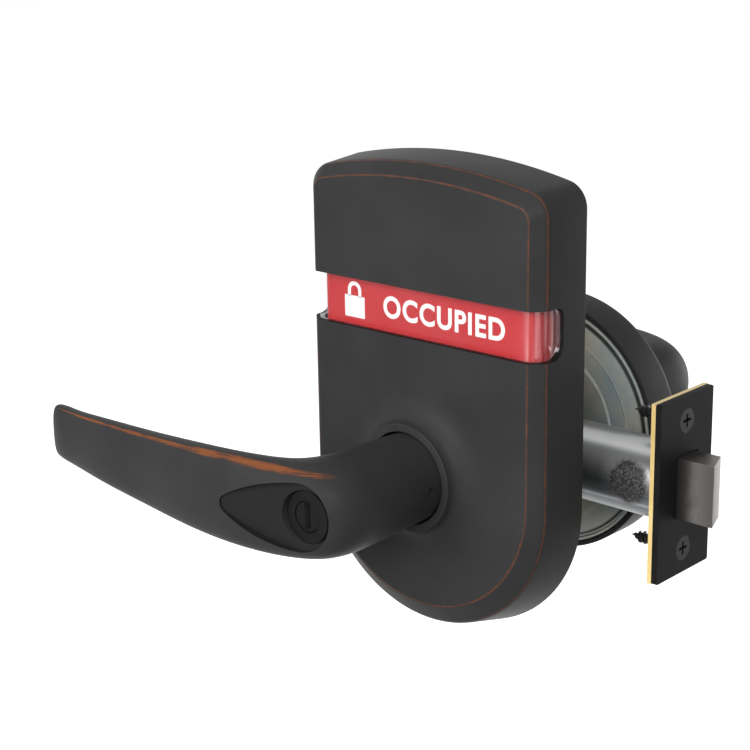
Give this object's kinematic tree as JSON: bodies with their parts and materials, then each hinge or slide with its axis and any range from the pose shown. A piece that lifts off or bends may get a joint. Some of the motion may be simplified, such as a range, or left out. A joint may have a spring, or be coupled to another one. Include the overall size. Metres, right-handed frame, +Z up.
{
  "type": "privacy lever lock",
  "caption": "Privacy lever lock with an indicator escutcheon outside, a round rose inside, lever handles, a coin turn, a sliding flag and a spring latch.",
  "frame": {"origin": "where the lever spindles' axis meets the latch's axis, in the middle of the door's thickness", "axes": "+X along the latch bolt to the door's edge, +Z up, -Y to the outside, +Y to the inside"},
  "size_m": [0.2015, 0.2048, 0.1534],
  "materials": {
    "aged_bronze": "satin near-black bronze, rubbed orange-brown on edges",
    "clear_lens": "clear moulded plastic",
    "red_flag": "smooth red",
    "zinc_steel": "zinc plated",
    "spring_steel": "drawn wire",
    "dark_steel": "black oxide",
    "black_plastic": "moulded black",
    "brass": "satin",
    "bolt_steel": "brushed warm grey"
  },
  "bodies": {
    "root": {"outside_escutcheon": "aged_bronze", "window_lens": "clear_lens", "outside_bushing": "aged_bronze", "inside_bushing": "aged_bronze", "bushing_nuts": "zinc_steel", "outside_mount_plate": "zinc_steel", "outside_cage": "zinc_steel", "inside_cage": "zinc_steel", "outside_cage_spring": "spring_steel", "inside_cage_spring": "spring_steel", "mount_posts": "zinc_steel", "escutcheon_screws": "dark_steel", "inside_rose": "aged_bronze", "inside_cage_plate": "zinc_steel", "through_bolts": "zinc_steel", "chassis_shell": "zinc_steel", "chassis_cover": "zinc_steel", "retractor_springs": "spring_steel", "latch_tube": "zinc_steel", "latch_spring_seat": "zinc_steel", "latch_spring": "spring_steel", "latch_faceplate": "aged_bronze", "latch_backplate": "brass", "faceplate_screws": "dark_steel"},
    "outside_lever": {"outside_lever": "aged_bronze", "outside_spindle": "zinc_steel", "outside_hub": "zinc_steel", "outside_catch": "spring_steel", "coin_ring": "aged_bronze"},
    "inside_lever": {"inside_lever": "aged_bronze", "inside_spindle": "zinc_steel", "inside_hub": "zinc_steel", "clutch_plate": "zinc_steel", "inside_catch": "spring_steel", "inside_button_ring": "aged_bronze"},
    "privacy_turn": {"coin_turn": "aged_bronze", "turn_button": "aged_bronze", "turn_bar": "zinc_steel", "indicator_cam": "zinc_steel", "clutch_cam": "zinc_steel"},
    "indicator_flag": {"occupancy_flag": "red_flag", "flag_carrier": "black_plastic"},
    "retractor": {"retractor": "zinc_steel"},
    "latch_bolt": {"latch_bolt": "bolt_steel", "latch_tail": "zinc_steel"}
  },
  "joints": [
    {"name": "outside_lever_turn", "type": "hinge", "parent": "root", "child": "outside_lever", "pos_m": [0, 0, 0], "axis": [0, -1, 0], "range_deg": [0, 45], "stiffness_Nm_per_rad": 1.5, "springref_deg": -28.65},
    {"name": "inside_lever_turn", "type": "hinge", "parent": "root", "child": "inside_lever", "pos_m": [0, 0, 0], "axis": [0, -1, 0], "range_deg": [0, 45], "stiffness_Nm_per_rad": 1.5, "springref_deg": -28.65},
    {"name": "privacy_turn", "type": "hinge", "parent": "root", "child": "privacy_turn", "pos_m": [0, 0, 0], "axis": [0, -1, 0], "range_deg": [0, 90]},
    {"name": "flag_slide", "type": "slide", "parent": "root", "child": "indicator_flag", "axis": [0, 0, -1], "range_m": [0, 0.0198]},
    {"name": "retractor_slide", "type": "slide", "parent": "root", "child": "retractor", "axis": [-1, 0, 0], "range_m": [0, 0.0127], "deforming": ["retractor_springs"]},
    {"name": "latch_bolt_slide", "type": "slide", "parent": "root", "child": "latch_bolt", "axis": [-1, 0, 0], "range_m": [0, 0.0127], "deforming": ["latch_spring"]}
  ],
  "couplings": [
    {"joint": "privacy_turn", "follows": "flag_slide", "rad_per_m": 79.3},
    {"joint": "retractor_slide", "follows": "inside_lever_turn", "m_per_rad": 0.01617},
    {"joint": "latch_bolt_slide", "follows": "inside_lever_turn", "m_per_rad": 0.01617}
  ]
}
